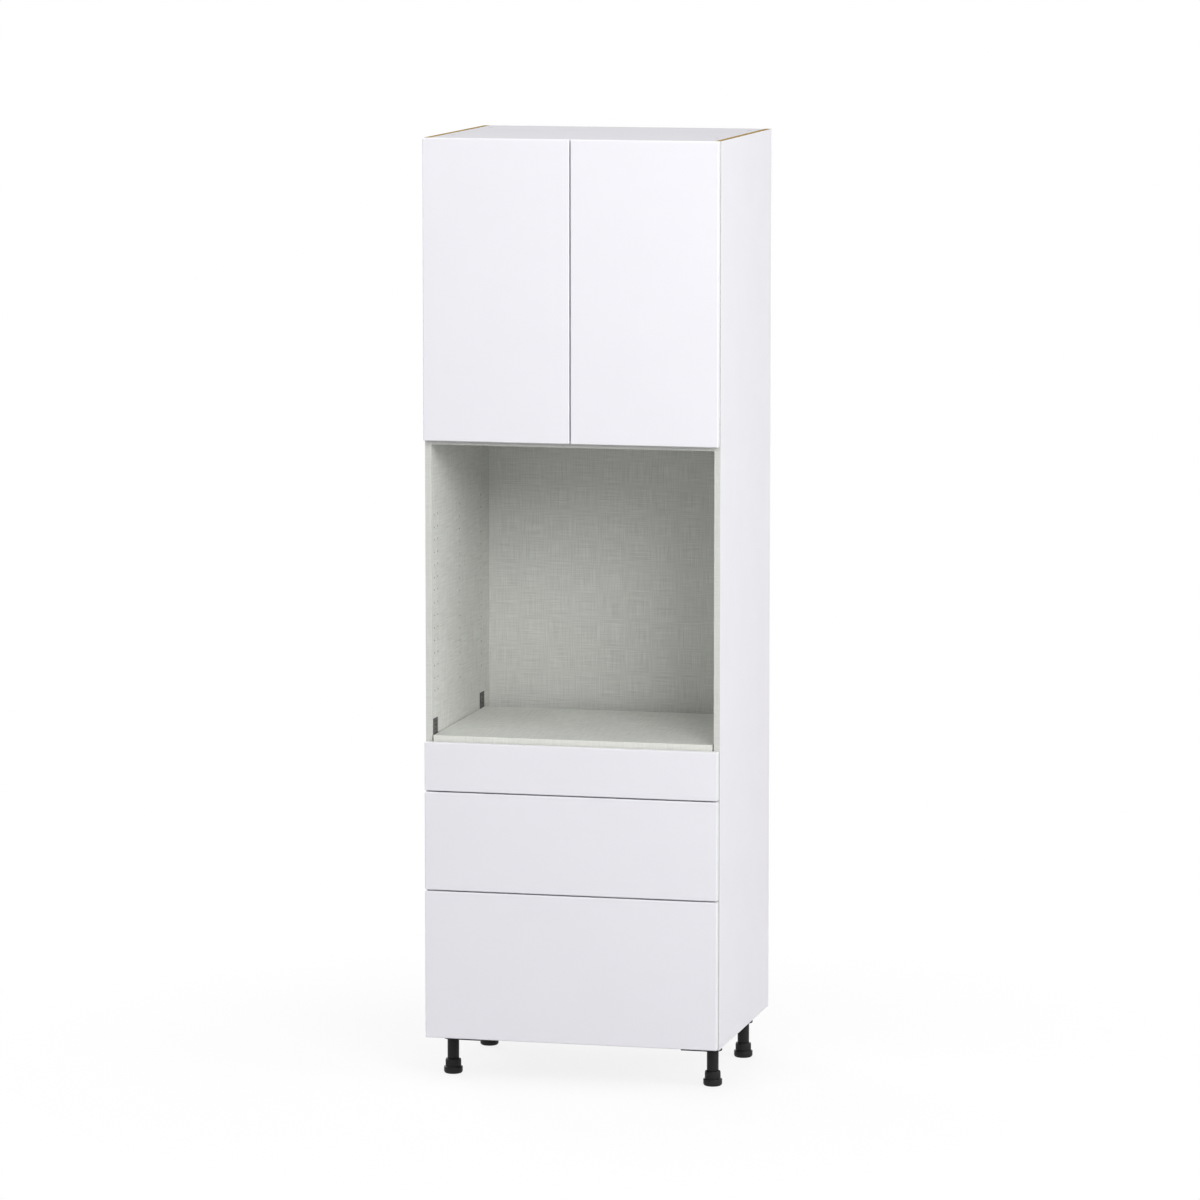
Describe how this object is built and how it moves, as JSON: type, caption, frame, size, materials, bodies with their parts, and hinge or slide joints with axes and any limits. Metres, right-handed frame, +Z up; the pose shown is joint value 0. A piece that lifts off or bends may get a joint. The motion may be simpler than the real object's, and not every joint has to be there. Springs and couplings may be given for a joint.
{
  "type": "oven pantry cabinet",
  "caption": "Tall frameless kitchen cabinet with slab drawers, an open oven bay and a double-door cupboard, on black levelling legs.",
  "frame": {"origin": "on the floor, below the centre of the overall box", "axes": "+X to the right as seen from the front, +Y to the back, +Z up; the fronts face -Y"},
  "size_m": [0.7604, 0.626, 2.399],
  "materials": {
    "white_lacquered_front": "satin",
    "white_faced_board": "satin",
    "linen_laminate_board": "matte",
    "drawer_board": "matte",
    "zinc_plated_steel": "satin",
    "nickel_plated_steel": "satin",
    "zinc_die_cast": "satin",
    "grey_coated_steel": "satin",
    "black_moulded_plastic": "matte"
  },
  "bodies": {
    "carcass": {"back_panel": "linen_laminate_board", "bottom_panel": "linen_laminate_board", "bottom_slide_cabinet_members": "zinc_plated_steel", "cam_fittings": "zinc_die_cast", "cupboard_floor": "linen_laminate_board", "hinge_arms": "nickel_plated_steel", "hinge_plates": "nickel_plated_steel", "left_side_panel": "white_faced_board", "leg_bases": "black_moulded_plastic", "leg_tubes": "black_moulded_plastic", "lower_cupboard_shelf": "linen_laminate_board", "lower_rear_rail": "linen_laminate_board", "middle_rear_rail": "linen_laminate_board", "middle_slide_cabinet_members": "zinc_plated_steel", "oven_shelf": "linen_laminate_board", "oven_shelf_brackets": "grey_coated_steel", "right_side_panel": "white_faced_board", "shelf_pins": "zinc_die_cast", "top_panel": "white_faced_board", "top_slide_cabinet_members": "zinc_plated_steel", "upper_cupboard_shelf": "linen_laminate_board", "upper_rear_rail": "linen_laminate_board"},
    "left_door": {"left_door": "white_lacquered_front", "left_hinge_cups": "nickel_plated_steel", "left_hinge_pins": "nickel_plated_steel"},
    "right_door": {"right_door": "white_lacquered_front", "right_hinge_cups": "nickel_plated_steel", "right_hinge_pins": "nickel_plated_steel"},
    "bottom_drawer": {"bottom_drawer_box_back": "drawer_board", "bottom_drawer_box_bottom": "drawer_board", "bottom_drawer_box_front": "drawer_board", "bottom_drawer_front": "white_lacquered_front", "bottom_drawer_left_side": "drawer_board", "bottom_drawer_right_side": "drawer_board", "bottom_slide_drawer_members": "drawer_board"},
    "bottom_slide": {"bottom_slide_middle_members": "zinc_plated_steel"},
    "middle_drawer": {"middle_drawer_box_back": "drawer_board", "middle_drawer_box_bottom": "drawer_board", "middle_drawer_box_front": "drawer_board", "middle_drawer_front": "white_lacquered_front", "middle_drawer_left_side": "drawer_board", "middle_drawer_right_side": "drawer_board", "middle_slide_drawer_members": "drawer_board"},
    "middle_slide": {"middle_slide_middle_members": "zinc_plated_steel"},
    "top_drawer": {"top_drawer_box_back": "drawer_board", "top_drawer_box_bottom": "drawer_board", "top_drawer_box_front": "drawer_board", "top_drawer_front": "white_lacquered_front", "top_drawer_left_side": "drawer_board", "top_drawer_right_side": "drawer_board", "top_slide_drawer_members": "drawer_board"},
    "top_slide": {"top_slide_middle_members": "zinc_plated_steel"},
    "front_left_foot": {"front_left_foot": "black_moulded_plastic"},
    "front_right_foot": {"front_right_foot": "black_moulded_plastic"},
    "rear_left_foot": {"rear_left_foot": "black_moulded_plastic"},
    "rear_right_foot": {"rear_right_foot": "black_moulded_plastic"}
  },
  "joints": [
    {"name": "left_door_hinge", "type": "hinge", "parent": "carcass", "child": "left_door", "pos_m": [-0.3703, -0.3025, 1.9], "axis": [0, 0, -1], "range_deg": [0, 105]},
    {"name": "right_door_hinge", "type": "hinge", "parent": "carcass", "child": "right_door", "pos_m": [0.3703, -0.3025, 1.9], "axis": [0, 0, 1], "range_deg": [0, 105]},
    {"name": "bottom_drawer_slide", "type": "slide", "parent": "carcass", "child": "bottom_drawer", "axis": [0, -1, 0], "range_m": [0, 0.48]},
    {"name": "bottom_slide_extension", "type": "slide", "parent": "carcass", "child": "bottom_slide", "axis": [0, -1, 0], "range_m": [0, 0.24]},
    {"name": "middle_drawer_slide", "type": "slide", "parent": "carcass", "child": "middle_drawer", "axis": [0, -1, 0], "range_m": [0, 0.48]},
    {"name": "middle_slide_extension", "type": "slide", "parent": "carcass", "child": "middle_slide", "axis": [0, -1, 0], "range_m": [0, 0.24]},
    {"name": "top_drawer_slide", "type": "slide", "parent": "carcass", "child": "top_drawer", "axis": [0, -1, 0], "range_m": [0, 0.48]},
    {"name": "top_slide_extension", "type": "slide", "parent": "carcass", "child": "top_slide", "axis": [0, -1, 0], "range_m": [0, 0.24]},
    {"name": "front_left_foot_turn", "type": "hinge", "parent": "carcass", "child": "front_left_foot", "pos_m": [-0.3401, -0.1811, 0.03], "axis": [0, 0, 1], "continuous": true},
    {"name": "front_right_foot_turn", "type": "hinge", "parent": "carcass", "child": "front_right_foot", "pos_m": [0.3401, -0.1811, 0.03], "axis": [0, 0, 1], "continuous": true},
    {"name": "rear_left_foot_turn", "type": "hinge", "parent": "carcass", "child": "rear_left_foot", "pos_m": [-0.3401, 0.1894, 0.03], "axis": [0, 0, 1], "continuous": true},
    {"name": "rear_right_foot_turn", "type": "hinge", "parent": "carcass", "child": "rear_right_foot", "pos_m": [0.3401, 0.1894, 0.03], "axis": [0, 0, 1], "continuous": true}
  ],
  "couplings": [
    {"joint": "bottom_slide_extension", "follows": "bottom_drawer_slide", "ratio": 0.5},
    {"joint": "middle_slide_extension", "follows": "middle_drawer_slide", "ratio": 0.5},
    {"joint": "top_slide_extension", "follows": "top_drawer_slide", "ratio": 0.5}
  ]
}
